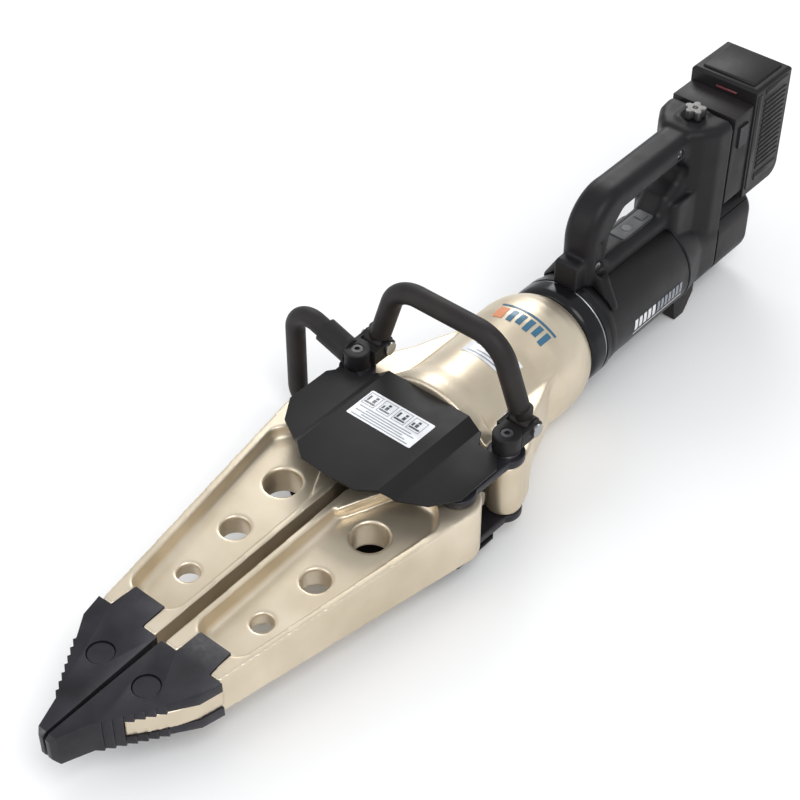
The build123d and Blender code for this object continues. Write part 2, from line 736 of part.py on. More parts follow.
def bracket_screw():
    return Pos(K[0], K[1], 54.55) * screw(3.0, 5.5, 11, 2.8)


def bail_pin():
    x, y, z = BAIL_PIVOT
    pin = shaft_y(x, y - 14.5, y + 14.5, z, 4.0)
    return pin + shaft_y(x, y - 16.5, y - 14.05, z, 6.5) + shaft_y(x, y + 14.05, y + 16.5, z, 6.5)


def carry_bail():
    x, y, z = BAIL_PIVOT
    tx, ty, tz = BAIL_TOP
    lift = 14.0
    f = lift / (tz - z)
    low = (x + (tx - x) * f, y + (ty - y) * f, z + lift)
    path = [low, (tx, ty, tz), (tx, -ty, tz), (low[0], -low[1], low[2])]
    tube = bent_tube(path, 34, TUBE_HANDLE_R)
    for side in (1, -1):
        eye = shaft_y(x, side * y - 10, side * y + 10, z, 10)
        tube += eye + Pos(x, side * y, z) * Cylinder(8, 18, align=(Align.CENTER, Align.CENTER, Align.MIN))
    for side in (1, -1):
        tube -= shaft_y(x, side * y - 20, side * y + 20, z, 4.0 + RUN)
    return tube


def side_handle():
    low = SIDE_HANDLE_LOW_Z
    points = [(K[0], *SIDE_HANDLE_START), (K[0], *SIDE_HANDLE_TOP), (K[0], 163, low), (K[0], 99, low)]
    return bent_tube(points, 22, SIDE_HANDLE_R)


def along_side_handle(shape):
    """Moves a shape from the Z axis onto the upper leg of the side handle."""
    rise = SIDE_HANDLE_TOP[1] - SIDE_HANDLE_START[1]
    run = SIDE_HANDLE_TOP[0] - SIDE_HANDLE_START[0]
    return Pos(K[0], *SIDE_HANDLE_START) * Rot(-90 + degrees(atan2(rise, run)), 0, 0) * shape


def side_socket():
    """Thicker sleeve on the upper end of the side handle, next to its bracket."""
    sleeve = Pos(0, 0, 12) * Cylinder(SOCKET_R, 24)
    return along_side_handle(sleeve - Cylinder(SIDE_HANDLE_R + 0.02, 80))


def socket_boss():
    """Boss on the right bracket that carries the sleeve of the side handle."""
    boss = along_side_handle(Pos(0, 0, -8.02) * Cylinder(SOCKET_R, 16))
    return boss & box(K[0] - 20, K[0] + 20, K[1] + 7, 120, LINK_Z0 + LINK_T + GAP + 3.6, 80)


def lower_clamp():
    """Foot of the side handle: a hub under the knuckle pin with a sleeve for the tube."""
    top = -(LINK_Z0 + LINK_T + GAP + 3.6)
    low = SIDE_HANDLE_LOW_Z
    hub = post(K[0], K[1], low - 9.5, top, 13)
    sleeve = shaft_y(K[0], K[1] + 8, 122, low, SOCKET_R) - box(400, 500, 0, 200, low - 20, low - 9.5)
    hub += sleeve - post(K[0], K[1], top, 0, 14)
    hub -= shaft_y(K[0], 98.5, 130, low, SIDE_HANDLE_R + 0.02)
    return hub


# --- assembly --------------------------------------------------------------

def build_nodes():
    nodes = {}
    for name, side in (("right", 1), ("left", -1)):
        def place(shape):
            return shape if side > 0 else other_side(shape)
        nodes["arm_" + name] = place(arm())
        nodes["arm_bush_" + name] = place(arm_bush())
        nodes["tip_" + name] = place(tip())
        nodes["tip_pin_" + name] = place(tip_pin())
        nodes["tip_pin_spring_" + name] = place(tip_spring())
        nodes["link_straps_" + name] = place(Compound(children=[strap(LINK_Z0), strap(-LINK_Z0 - LINK_T)]))
        nodes["link_pin_" + name] = place(link_pin())
        nodes["bail_bracket_" + name] = place(bail_bracket())
        nodes["handle_shell_" + name] = handle_shell(side)
    nodes["bail_bracket_right"] += socket_boss()
    nodes["crosshead"] = crosshead()
    nodes["crosshead_pins"] = crosshead_pins()
    nodes["piston_rod"] = piston_rod()
    nodes["piston"] = piston()
    nodes["piston_seal"] = piston_seal()
    nodes["piston_nut"] = piston_nut()
    nodes["front_housing"] = front_housing()
    nodes["rod_bush"] = rod_bush()
    nodes["rod_seal"] = rod_seal()
    nodes["cylinder_head"] = cylinder_head()
    nodes["flange_ring"] = flange_ring()
    nodes["motor_tube"] = motor_tube()
    nodes["pump_block"] = pump_block()
    nodes["electric_motor"] = electric_motor()
    nodes["handle_screws"] = handle_screws()
    nodes["switch_panel"] = switch_panel()
    nodes["power_button"] = power_button()
    nodes["status_lens"] = status_lens()
    nodes["rear_feet"] = Compound(children=[rear_foot(1), rear_foot(-1)])
    nodes["knuckle_pins"] = Compound(children=[knuckle_pin(), other_side(knuckle_pin())])
    nodes["rear_base"] = rear_base()
    nodes["control_board"] = control_board()
    nodes["star_knob"] = star_knob()
    nodes["valve_spindle"] = valve_spindle()
    nodes["valve_body"] = valve_body()
    nodes["valve_spring"] = valve_spring()
    nodes["battery_dock"] = battery_dock()
    nodes["battery_adapter"] = battery_adapter()
    nodes["battery_case"] = battery_case()
    nodes["battery_cells"] = battery_cells()
    for button, name in zip(battery_latch(), ("right", "left")):
        nodes["battery_latch_" + name] = button
    nodes["top_cover"] = cover()
    nodes["bottom_cover"] = below(cover())
    nodes["cover_screws"] = Compound(children=[cover_screws(1), cover_screws(-1)])
    nodes["cover_label"] = cover_label()
    nodes["bracket_screws"] = Compound(children=[bracket_screw(), other_side(bracket_screw())])
    nodes["bail_pins"] = Compound(children=[bail_pin(), other_side(bail_pin())])
    nodes["carry_bail"] = carry_bail()
    nodes["side_handle"] = side_handle()
    nodes["side_handle_socket"] = side_socket()
    nodes["side_handle_clamp"] = lower_clamp()
    return nodes


def main():
    nodes = build_nodes()
    boxes = [shape.bounding_box() for shape in nodes.values()]
    middle_x = (min(b.min.X for b in boxes) + max(b.max.X for b in boxes)) / 2
    middle_y = (min(b.min.Y for b in boxes) + max(b.max.Y for b in boxes)) / 2
    bottom = min(b.min.Z for b in boxes)
    print("origin in the drawing frame", round(middle_x, 3), round(middle_y, 3), round(bottom, 3))
    os.makedirs("parts", exist_ok=True)
    for name, shape in nodes.items():
        export_step(Pos(-middle_x, -middle_y, -bottom) * shape, "parts/" + name + ".step")
    print(len(nodes), "nodes")


main()
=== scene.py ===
import json
from math import cos, pi, radians, sin

import bmesh
import bpy
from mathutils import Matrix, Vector
from mathutils.bvhtree import BVHTree

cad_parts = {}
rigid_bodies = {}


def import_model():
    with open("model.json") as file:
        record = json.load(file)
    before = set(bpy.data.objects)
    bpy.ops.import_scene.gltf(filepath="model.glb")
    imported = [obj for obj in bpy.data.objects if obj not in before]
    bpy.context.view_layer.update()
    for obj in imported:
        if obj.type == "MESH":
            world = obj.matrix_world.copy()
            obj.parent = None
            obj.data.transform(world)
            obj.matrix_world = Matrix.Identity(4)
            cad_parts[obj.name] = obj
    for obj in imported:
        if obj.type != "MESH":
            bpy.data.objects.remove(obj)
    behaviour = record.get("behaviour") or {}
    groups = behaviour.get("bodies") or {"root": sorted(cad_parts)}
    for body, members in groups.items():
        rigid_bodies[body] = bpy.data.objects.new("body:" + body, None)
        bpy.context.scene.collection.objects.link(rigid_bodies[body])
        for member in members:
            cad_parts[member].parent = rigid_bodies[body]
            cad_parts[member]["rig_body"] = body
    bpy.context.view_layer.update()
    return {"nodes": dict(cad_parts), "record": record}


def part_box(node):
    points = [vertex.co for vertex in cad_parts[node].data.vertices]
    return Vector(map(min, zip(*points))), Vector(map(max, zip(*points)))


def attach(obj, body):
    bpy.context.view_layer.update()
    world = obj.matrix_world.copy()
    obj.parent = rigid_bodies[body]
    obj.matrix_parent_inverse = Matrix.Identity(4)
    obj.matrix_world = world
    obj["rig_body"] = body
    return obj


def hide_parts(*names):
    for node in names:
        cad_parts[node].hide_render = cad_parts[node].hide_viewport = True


# ---------------------------------------------------------------------------
# Looks of the battery rescue spreader. Metres, in the frame of the CAD model:
# origin at the bottom centre, +X towards the battery, +Y operator's right.
# ---------------------------------------------------------------------------

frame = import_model()
nodes = frame["nodes"]
MM = 0.001

SMOOTH_TURN = 144           # flats round a turned piece
WELD_DISTANCE = 2e-6        # metres, under which points of the CAD meshes are joined
FLAT_ANGLE = radians(0.4)   # faces this close to one plane become one face
BEVEL_ANGLE = radians(34)   # edges sharper than this are bevelled
CAD_SHARP = 34              # degrees, edges that stay sharp in shading
PIECE_SHARP = 40
TURNED_SHARP = 32
PRINT_SHARP = 30
PRINT_DEPTH = 0.25          # millimetres, thickness of a flat print
PRINT_STEP = 3              # millimetres or degrees between points of a wrapped print
RAY_START = 0.13            # metres from the axis, outside every round piece
FILM_LIFT = 0.0003          # metres of a label above its surface
MARK_LIFT = 0.0004
OVER_FILM_LIFT = 0.0006

# Where the drawing frame of the part (X = 0 at the tips, Z = 0 on the cylinder
# axis) lies in this frame.
tip_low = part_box("tip_left")[0]
tube_low, tube_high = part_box("motor_tube")
AXIS = Vector((tip_low.x, (tube_low.y + tube_high.y) / 2, (tube_low.z + tube_high.z) / 2))


def at(x, y, z):
    """A point of the drawing frame, in millimetres, as a point in this frame."""
    return AXIS + Vector((x, y, z)) * MM


def extent(node):
    """Lowest and highest corner of a CAD node, in millimetres of the drawing frame."""
    low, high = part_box(node)
    return (Vector(low) - AXIS) / MM, (Vector(high) - AXIS) / MM


# --- camera, floor and light -----------------------------------------------

LIGHT_TARGET = (0, 0, 0.1)


def make_camera():
    azimuth, elevation = radians(-49.4), radians(42.0)
    step_back = 0.06
    level = cos(elevation)
    forward = Vector((-sin(azimuth) * level, cos(azimuth) * level, -sin(elevation)))
    data = bpy.data.cameras.new("camera")
    data.sensor_width = 36.0
    data.lens = 82.0
    camera = bpy.data.objects.new("camera", data)
    camera.location = at(-442, -728, 1086) - forward * step_back
    data.shift_x = 0.008
    camera.rotation_euler = forward.to_track_quat("-Z", "Y").to_euler()
    bpy.context.scene.collection.objects.link(camera)
    bpy.context.scene.camera = camera


def area_light(name, place, size, power):
    data = bpy.data.lights.new(name, "AREA")
    data.shape = "DISK"
    data.size = size
    data.energy = power
    light = bpy.data.objects.new(name, data)
    light.location = place
    light.rotation_euler = (Vector(LIGHT_TARGET) - Vector(place)).to_track_quat("-Z", "Y").to_euler()
    bpy.context.scene.collection.objects.link(light)


def make_stage():
    mesh = bpy.data.meshes.new("floor")
    reach, depth = 14.0, -0.0005
    signs = ((-1, -1), (1, -1), (1, 1), (-1, 1))
    mesh.from_pydata([(x * reach, y * reach, depth) for x, y in signs], [], [(0, 1, 2, 3)])
    floor = bpy.data.objects.new("floor", mesh)
    bpy.context.scene.collection.objects.link(floor)
    mesh.materials.append(new_material("floor_paint", (0.93, 0.93, 0.93), 0.9)[0])
    world = bpy.data.worlds.new("studio")
    world.use_nodes = True
    background = world.node_tree.nodes["Background"]
    background.inputs["Color"].default_value = (0.95, 0.97, 1.0, 1)
    background.inputs["Strength"].default_value = 0.72
    bpy.context.scene.world = world
    bpy.context.scene.view_settings.view_transform = "Standard"
    area_light("key", (-0.9, -1.5, 2.4), 1.6, 34)
    area_light("fill", (-2.2, 0.9, 1.3), 1.8, 13)
    area_light("rim", (1.9, 1.4, 1.7), 1.2, 22)


# --- materials -------------------------------------------------------------

def new_material(name, colour, roughness, metallic=0.0, specular=0.5):
    material = bpy.data.materials.new(name)
    material.use_nodes = True
    shader = material.node_tree.nodes["Principled BSDF"]
    shader.inputs["Base Color"].default_value = (*colour, 1)
    shader.inputs["Roughness"].default_value = roughness
    shader.inputs["Metallic"].default_value = metallic
    shader.inputs["Specular IOR Level"].default_value = specular
    return material, shader


def noise(tree, scale, detail=4.0, stretch=None):
    """Noise in object coordinates; scale is in features per metre."""
    coordinates = tree.nodes.new("ShaderNodeTexCoord")
    source = coordinates.outputs["Object"]
    if stretch:
        mapping = tree.nodes.new("ShaderNodeMapping")
        mapping.inputs["Scale"].default_value = stretch
        tree.links.new(source, mapping.inputs["Vector"])
        source = mapping.outputs["Vector"]
    texture = tree.nodes.new("ShaderNodeTexNoise")
    texture.inputs["Scale"].default_value = scale
    texture.inputs["Detail"].default_value = detail
    tree.links.new(source, texture.inputs["Vector"])
    return texture.outputs["Fac"]


def ramp(tree, source, low, high, colour_low, colour_high):
    node = tree.nodes.new("ShaderNodeValToRGB")
    node.color_ramp.elements[0].position = low
    node.color_ramp.elements[1].position = high
    node.color_ramp.elements[0].color = (*colour_low, 1)
    node.color_ramp.elements[1].color = (*colour_high, 1)
    tree.links.new(source, node.inputs["Fac"])
    return node.outputs["Color"]


def span(tree, source, low, high):
    node = tree.nodes.new("ShaderNodeMapRange")
    node.inputs["To Min"].default_value = low
    node.inputs["To Max"].default_value = high
    tree.links.new(source, node.inputs["Value"])
    return node.outputs["Result"]


def bump(tree, shader, sources, distance):
    """Adds one bump for each (source, strength), the first one nearest the surface."""
    normal = None
    for source, strength in sources:
        node = tree.nodes.new("ShaderNodeBump")
        node.inputs["Strength"].default_value = strength
        node.inputs["Distance"].default_value = distance
        tree.links.new(source, node.inputs["Height"])
        if normal:
            tree.links.new(normal, node.inputs["Normal"])
        normal = node.outputs["Normal"]
    tree.links.new(normal, shader.inputs["Normal"])


def edge_mask(tree, low, high):
    """About 1 on worn outer edges and 0 elsewhere."""
    geometry = tree.nodes.new("ShaderNodeNewGeometry")
    node = tree.nodes.new("ShaderNodeMapRange")
    node.inputs["From Min"].default_value = low
    node.inputs["From Max"].default_value = high
    tree.links.new(geometry.outputs["Pointiness"], node.inputs["Value"])
    return node.outputs["Result"]


def mix_colour(tree, factor, first, second):
    """first and second are a socket or a colour."""
    node = tree.nodes.new("ShaderNodeMix")
    node.data_type = "RGBA"
    tree.links.new(factor, node.inputs["Factor"])
    for value, socket in ((first, node.inputs["A"]), (second, node.inputs["B"])):
        if isinstance(value, tuple):
            socket.default_value = (*value, 1)
        else:
            tree.links.new(value, socket)
    return node.outputs["Result"]


def multiply(tree, first, second):
    node = tree.nodes.new("ShaderNodeMath")
    node.operation = "MULTIPLY"
    tree.links.new(first, node.inputs[0])
    tree.links.new(second, node.inputs[1])
    return node.outputs["Value"]


def champagne_alloy():
    """Bead-blasted, champagne anodised light alloy with slightly rubbed edges."""
    material, shader = new_material("champagne_alloy", (0.70, 0.62, 0.50), 0.36, 0.85)
    tree = material.node_tree
    cloud = noise(tree, 14, 5)
    base = ramp(tree, cloud, 0.3, 0.7, (0.61, 0.52, 0.385), (0.77, 0.675, 0.53))
    wear = multiply(tree, edge_mask(tree, 0.52, 0.6), span(tree, noise(tree, 160, 6), 0.0, 1.0))
    worn = mix_colour(tree, wear, base, (0.92, 0.86, 0.76))
    tree.links.new(worn, shader.inputs["Base Color"])
    tree.links.new(span(tree, noise(tree, 45, 6), 0.3, 0.46), shader.inputs["Roughness"])
    bump(tree, shader, [(noise(tree, 2600, 2), 0.16), (noise(tree, 60, 3), 0.05)], 0.0004)
    return material


def black_steel():
    """Black-oxide tool steel, rubbed to grey along its edges."""
    material, shader = new_material("black_oxide_steel", (0.02, 0.019, 0.023), 0.42, 0.35, 0.4)
    tree = material.node_tree
    base = ramp(tree, noise(tree, 30, 6), 0.3, 0.75, (0.012, 0.011, 0.014), (0.030, 0.028, 0.036))
    wear = multiply(tree, edge_mask(tree, 0.53, 0.62), span(tree, noise(tree, 220, 6), 0.0, 1.2))
    tree.links.new(mix_colour(tree, wear, base, (0.13, 0.125, 0.125)), shader.inputs["Base Color"])
    tree.links.new(span(tree, noise(tree, 90, 5), 0.3, 0.55), shader.inputs["Roughness"])
    bump(tree, shader, [(noise(tree, 1800, 3), 0.2), (noise(tree, 180, 4), 0.12)], 0.0003)
    return material


def moulded_plastic(name, colour, roughness=0.5, grain=1900):
    material, shader = new_material(name, colour, roughness, 0.0, 0.24)
    tree = material.node_tree
    darker = tuple(c * 0.72 for c in colour)
    lighter = tuple(min(1, c * 1.3) for c in colour)
    rubbed = tuple(min(1, c * 2.2 + 0.006) for c in colour)
    base = ramp(tree, noise(tree, 22, 5), 0.3, 0.7, darker, lighter)
    worn = mix_colour(tree, edge_mask(tree, 0.53, 0.63), base, rubbed)
    tree.links.new(worn, shader.inputs["Base Color"])
    uneven = span(tree, noise(tree, 60, 5), roughness - 0.08, roughness + 0.1)
    tree.links.new(uneven, shader.inputs["Roughness"])
    bump(tree, shader, [(noise(tree, grain, 2), 0.3), (noise(tree, grain * 0.3, 2), 0.1)], 0.0002)
    return material


def powder_coat(name, colour, roughness=0.5):
    material, shader = new_material(name, colour, roughness, 0.0, 0.26)
    tree = material.node_tree
    lighter = tuple(c * 1.5 for c in colour)
    base = ramp(tree, noise(tree, 18, 4), 0.3, 0.7, colour, lighter)
    tree.links.new(base, shader.inputs["Base Color"])
    uneven = span(tree, noise(tree, 50, 5), roughness - 0.07, roughness + 0.1)
    tree.links.new(uneven, shader.inputs["Roughness"])
    bump(tree, shader, [(noise(tree, 700, 2), 0.12), (noise(tree, 2400, 2), 0.08)], 0.0003)
    return material


def rubber_sleeve():
    material, shader = new_material("rubber_sleeve", (0.016, 0.013, 0.013), 0.55, 0.0, 0.3)
    tree = material.node_tree
    base = ramp(tree, noise(tree, 26, 5), 0.3, 0.72, (0.011, 0.009, 0.009), (0.024, 0.019, 0.018))
    tree.links.new(base, shader.inputs["Base Color"])
    tree.links.new(span(tree, noise(tree, 70, 5), 0.45, 0.66), shader.inputs["Roughness"])
    bump(tree, shader, [(noise(tree, 1500, 3), 0.28)], 0.0003)
    return material


def plain_metal(name, colour, roughness, stretch=(1, 1, 1)):
    """Turned or ground metal; stretch sets the direction of its fine lines."""
    material, shader = new_material(name, colour, roughness, 1.0)
    tree = material.node_tree
    darker = tuple(c * 0.8 for c in colour)
    base = ramp(tree, noise(tree, 60, 5), 0.3, 0.7, darker, colour)
    tree.links.new(base, shader.inputs["Base Color"])
    uneven = span(tree, noise(tree, 150, 5), roughness * 0.75, roughness * 1.3)
    tree.links.new(uneven, shader.inputs["Roughness"])
    bump(tree, shader, [(noise(tree, 900, 3, stretch), 0.12)], 0.0002)
    return material


def printed_film(name, colour):
    material, shader = new_material(name, colour, 0.35)
    tree = material.node_tree
    duller = tuple(c * 0.93 for c in colour)
    base = ramp(tree, noise(tree, 120, 4), 0.35, 0.7, duller, colour)
    tree.links.new(base, shader.inputs["Base Color"])
    shader.inputs["Coat Weight"].default_value = 0.3
    bump(tree, shader, [(noise(tree, 500, 2), 0.05)], 0.0002)
    return material


ALLOY = champagne_alloy()
TIP_STEEL = black_steel()
BLACK_MOULDING = moulded_plastic("black_moulding", (0.0085, 0.0075, 0.0085), 0.44)
BATTERY_MOULDING = moulded_plastic("battery_moulding", (0.0105, 0.009, 0.0095), 0.46)
GREY_MOULDING = moulded_plastic("grey_moulding", (0.085, 0.085, 0.09), 0.5)
BLACK_COAT = powder_coat("black_coat", (0.0095, 0.0088, 0.009))
TUBE_BLACK = powder_coat("tube_anodising", (0.0065, 0.006, 0.0065), 0.4)
GLOSS_RING = powder_coat("gloss_black_anodising", (0.006, 0.006, 0.007), 0.18)
SLEEVE = rubber_sleeve()
SEAL = moulded_plastic("seal_rubber", (0.012, 0.012, 0.012), 0.6, 900)
STEEL = plain_metal("ground_steel", (0.42, 0.42, 0.43), 0.3, (1, 1, 12))
CHROME = plain_metal("polished_knob", (0.15, 0.147, 0.143), 0.38)
LENS = moulded_plastic("status_lens", (0.035, 0.035, 0.04), 0.3)
BRONZE = plain_metal("bearing_bronze", (0.60, 0.42, 0.22), 0.34)
MACHINED = plain_metal("machined_alloy", (0.72, 0.72, 0.73), 0.3, (12, 1, 1))
WHITE_FILM = printed_film("white_film", (0.80, 0.81, 0.83))
GREY_INK = printed_film("grey_ink", (0.24, 0.26, 0.29))
DARK_INK = printed_film("dark_ink", (0.04, 0.05, 0.06))
BLUE_INK = printed_film("blue_ink", (0.03, 0.13, 0.22))
ORANGE_INK = printed_film("orange_ink", (0.72, 0.27, 0.12))
RED_INK = printed_film("red_ink", (0.13, 0.025, 0.035))
CELL_SLEEVE = moulded_plastic("cell_sleeve", (0.05, 0.13, 0.28), 0.35, 700)
BOARD = moulded_plastic("board_green", (0.02, 0.10, 0.05), 0.4, 500)

BY_SLOT = {
    "gold_alloy": ALLOY, "black_steel": TIP_STEEL, "bright_steel": STEEL, "black_paint": BLACK_COAT,
    "black_plastic": BLACK_MOULDING, "grip_rubber": SLEEVE, "grey_plastic": GREY_MOULDING,
    "chrome_knob": CHROME, "bronze": BRONZE, "seal_rubber": SEAL, "alloy": MACHINED,
    "label_white": WHITE_FILM, "lens": LENS, "cells": CELL_SLEEVE, "board": BOARD,
}


def paint(obj, material):
    obj.data.materials.clear()
    obj.data.materials.append(material)


# --- mesh helpers ----------------------------------------------------------

def link(mesh, name):
    obj = bpy.data.objects.new(name, mesh)
    bpy.context.scene.collection.objects.link(obj)
    return obj


def apply_modifiers(obj):
    bpy.context.view_layer.update()
    evaluated = obj.evaluated_get(bpy.context.evaluated_depsgraph_get())
    mesh = bpy.data.meshes.new_from_object(evaluated)
    obj.modifiers.clear()
    old = obj.data
    obj.data = mesh
    bpy.data.meshes.remove(old)


def shade(obj, angle=None):
    for polygon in obj.data.polygons:
        polygon.use_smooth = True
    if angle is not None:
        obj.data.set_sharp_from_angle(angle=radians(angle))


def copy_of(name, sources):
    """One welded mesh with the shape of the given CAD nodes."""
    form = bmesh.new()
    for source in sources:
        form.from_mesh(nodes[source].data)
    bmesh.ops.remove_doubles(form, verts=form.verts, dist=WELD_DISTANCE)
    mesh = bpy.data.meshes.new(name)
    form.to_mesh(mesh)
    form.free()
    return link(mesh, name)


def ball_hull(obj, first, second):
    """Adds a tapered round lobe between two balls (x, y, z, radius) to a mesh."""
    form = bmesh.new()
    for x, y, z, radius in (first, second):
        made = bmesh.ops.create_icosphere(form, subdivisions=3, radius=radius * MM)
        bmesh.ops.translate(form, verts=made["verts"], vec=at(x, y, z))
    hull = bmesh.ops.convex_hull(form, input=form.verts)
    inside = [v for v in hull["geom_interior"] if isinstance(v, bmesh.types.BMVert)]
    bmesh.ops.delete(form, geom=inside, context="VERTS")
    mesh = bpy.data.meshes.new("lobe")
    form.to_mesh(mesh)
    form.free()
    form = bmesh.new()
    form.from_mesh(obj.data)
    form.from_mesh(mesh)
    form.to_mesh(obj.data)
    form.free()
    bpy.data.meshes.remove(mesh)


def cast_copy(name, sources, voxel, passes, material, lobes=()):
    """The CAD shape as a casting or moulding: every edge is rounded over."""
    obj = copy_of(name, sources)
    for first, second in lobes:
        ball_hull(obj, first, second)
    remesh = obj.modifiers.new("remesh", "REMESH")
    remesh.mode = "VOXEL"
    remesh.voxel_size = voxel
    smooth = obj.modifiers.new("smooth", "SMOOTH")
    smooth.factor = 0.5
    smooth.iterations = passes
    apply_modifiers(obj)
    dress(obj, sources, material)


def machined_copy(name, sources, width, material, segments=3):
    """The CAD shape with a small bevel on its sharp edges."""
    obj = copy_of(name, sources)
    form = bmesh.new()
    form.from_mesh(obj.data)
    bmesh.ops.dissolve_limit(form, angle_limit=FLAT_ANGLE, verts=form.verts, edges=form.edges)
    form.to_mesh(obj.data)
    form.free()
    bevel = obj.modifiers.new("bevel", "BEVEL")
    bevel.width = width
    bevel.segments = segments
    bevel.limit_method = "ANGLE"
    bevel.angle_limit = BEVEL_ANGLE
    bevel.harden_normals = True
    bevel.use_clamp_overlap = True
    apply_modifiers(obj)
    dress(obj, sources, material, PIECE_SHARP)


def turned(name, profile):
    """A closed profile of (x, radius) points turned round the cylinder axis."""
    form = bmesh.new()
    steps = SMOOTH_TURN
    turns = [2 * pi * k / steps for k in range(steps)]
    rings = []
    for x, radius in profile:
        rings.append([form.verts.new(at(x, radius * cos(t), radius * sin(t))) for t in turns])
    for near, far in zip(rings, rings[1:] + rings[:1]):
        for k in range(steps):
            form.faces.new((near[k], near[(k + 1) % steps], far[(k + 1) % steps], far[k]))
    bmesh.ops.recalc_face_normals(form, faces=form.faces)
    mesh = bpy.data.meshes.new(name)
    form.to_mesh(mesh)
    form.free()
    return link(mesh, name)


def block(name, boxes, width, material, body, segments=3):
    """Rounded blocks (x0, x1, y0, y1, z0, z1) made as one piece."""
    form = bmesh.new()
    for x0, x1, y0, y1, z0, z1 in boxes:
        made = bmesh.ops.create_cube(form, size=1.0)
        for vert in made["verts"]:
            share = vert.co + Vector((0.5, 0.5, 0.5))
            x = x0 + (x1 - x0) * share.x
            y = y0 + (y1 - y0) * share.y
            vert.co = at(x, y, z0 + (z1 - z0) * share.z)
    mesh = bpy.data.meshes.new(name)
    form.to_mesh(mesh)
    form.free()
    obj = link(mesh, name)
    bevel = obj.modifiers.new("bevel", "BEVEL")
    bevel.width = width
    bevel.segments = segments
    bevel.harden_normals = True
    apply_modifiers(obj)
    extra(obj, material, body)


def extra(obj, material, body):
    """A piece that only Blender has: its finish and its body."""
    shade(obj, PIECE_SHARP)
    paint(obj, material)
    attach(obj, body)


def dress(obj, sources, material, sharp=None):
    """Gives a piece its finish, its body and the CAD nodes it stands for."""
    shade(obj, sharp)
    paint(obj, material)
    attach(obj, nodes[sources[0]]["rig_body"])
    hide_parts(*sources)


slot_of = {part["node"]: part["material_slot"] for part in frame["record"]["subparts"]}


def paint_cad_nodes():
    for name, obj in nodes.items():
        paint(obj, BY_SLOT[slot_of[name]])
        shade(obj, CAD_SHARP)
    paint(nodes["flange_ring"], GLOSS_RING)


# --- labels and printed marks ----------------------------------------------

def finish_print(name, points, faces, material, body):
    mesh = bpy.data.meshes.new(name)
    mesh.from_pydata(points, [], faces)
    mesh.validate()
    obj = link(mesh, name)
    shade(obj, PRINT_SHARP)
    paint(obj, material)
    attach(obj, body)


def sheet_faces(columns, rows, start):
    """Four-sided faces of a grid of points whose first one has the number start."""
    faces = []
    for i in range(columns - 1):
        for j in range(rows - 1):
            first = start + i * rows + j
            faces.append((first, first + 1, first + rows + 1, first + rows))
    return faces


def flat_print(name, patches, height, material, body):
    """Thin flat patches (x0, x1, y0, y1 in drawing millimetres) at one height."""
    points, faces = [], []
    for x0, x1, y0, y1 in patches:
        start = len(points)
        for z in (height, height - PRINT_DEPTH):
            points += [at(x0, y0, z), at(x1, y0, z), at(x1, y1, z), at(x0, y1, z)]
        faces.append((start, start + 1, start + 2, start + 3))
        for k in range(4):
            faces.append((start + k, start + 4 + k, start + 4 + (k + 1) % 4, start + (k + 1) % 4))
        faces.append((start + 7, start + 6, start + 5, start + 4))
    finish_print(name, points, faces, material, body)


def wrapped_print(name, target, patches, lift, material, body):
    """Patches (x0, x1, angle0, angle1) laid on a round piece. Angle 0 is on top and
    negative angles turn towards the operator's left."""
    tree = BVHTree.FromObject(target, bpy.context.evaluated_depsgraph_get())
    points, faces = [], []
    for x0, x1, angle0, angle1 in patches:
        columns = int(abs(x1 - x0) / PRINT_STEP) + 2
        rows = int(abs(angle1 - angle0) / PRINT_STEP) + 2
        faces += sheet_faces(columns, rows, len(points))
        for i in range(columns):
            x = x0 + (x1 - x0) * i / (columns - 1)
            for j in range(rows):
                turn = radians(angle0 + (angle1 - angle0) * j / (rows - 1))
                outward = Vector((0, sin(turn), cos(turn)))
                hit = tree.ray_cast(at(x, 0, 0) + outward * RAY_START, -outward)[0]
                points.append(hit + outward * lift)
    finish_print(name, points, faces, material, body)


def cover_print():
    """Generic pictogram label: abstract marks in place of pictures and wording."""
    body = "housing"
    low, high = extent("cover_label")
    height = high.z + 0.3
    frame_front, frame_rear = low.x + 18, high.x - 2.5
    marks, lines = [], []
    for i in range(4):
        y = high.y - 8 - 17 * i
        lean = 2.5 * (i % 2)
        marks.append((frame_front + 2.5, frame_front + 4.2, y - 6, y + 5))
        marks.append((frame_front + 5.4, frame_front + 9.4, y - 4.5 + lean, y - 1.5 + lean))
        marks.append((frame_front + 10.4, frame_front + 13, y - 4.5 + lean, y - 1.9 + lean))
        marks.append((frame_front + 5.4, frame_front + 12 - lean, y + 2.6, y + 4.6))
        lines.append((frame_front, frame_front + 0.4, y - 7.5, y + 6.5))
        lines.append((frame_rear - 0.4, frame_rear, y - 7.5, y + 6.5))
        lines.append((frame_front, frame_rear, y - 7.5, y - 7.1))
        lines.append((frame_front, frame_rear, y + 6.1, y + 6.5))
    for i in range(5):
        x = low.x + 2 + 3 * i
        lines.append((x, x + 1, low.y + 5 + 5 * (i % 3), high.y - 4 - 9 * (i % 2)))
    flat_print("label_marks", marks, height, DARK_INK, body)
    flat_print("label_lines", lines, height, GREY_INK, body)


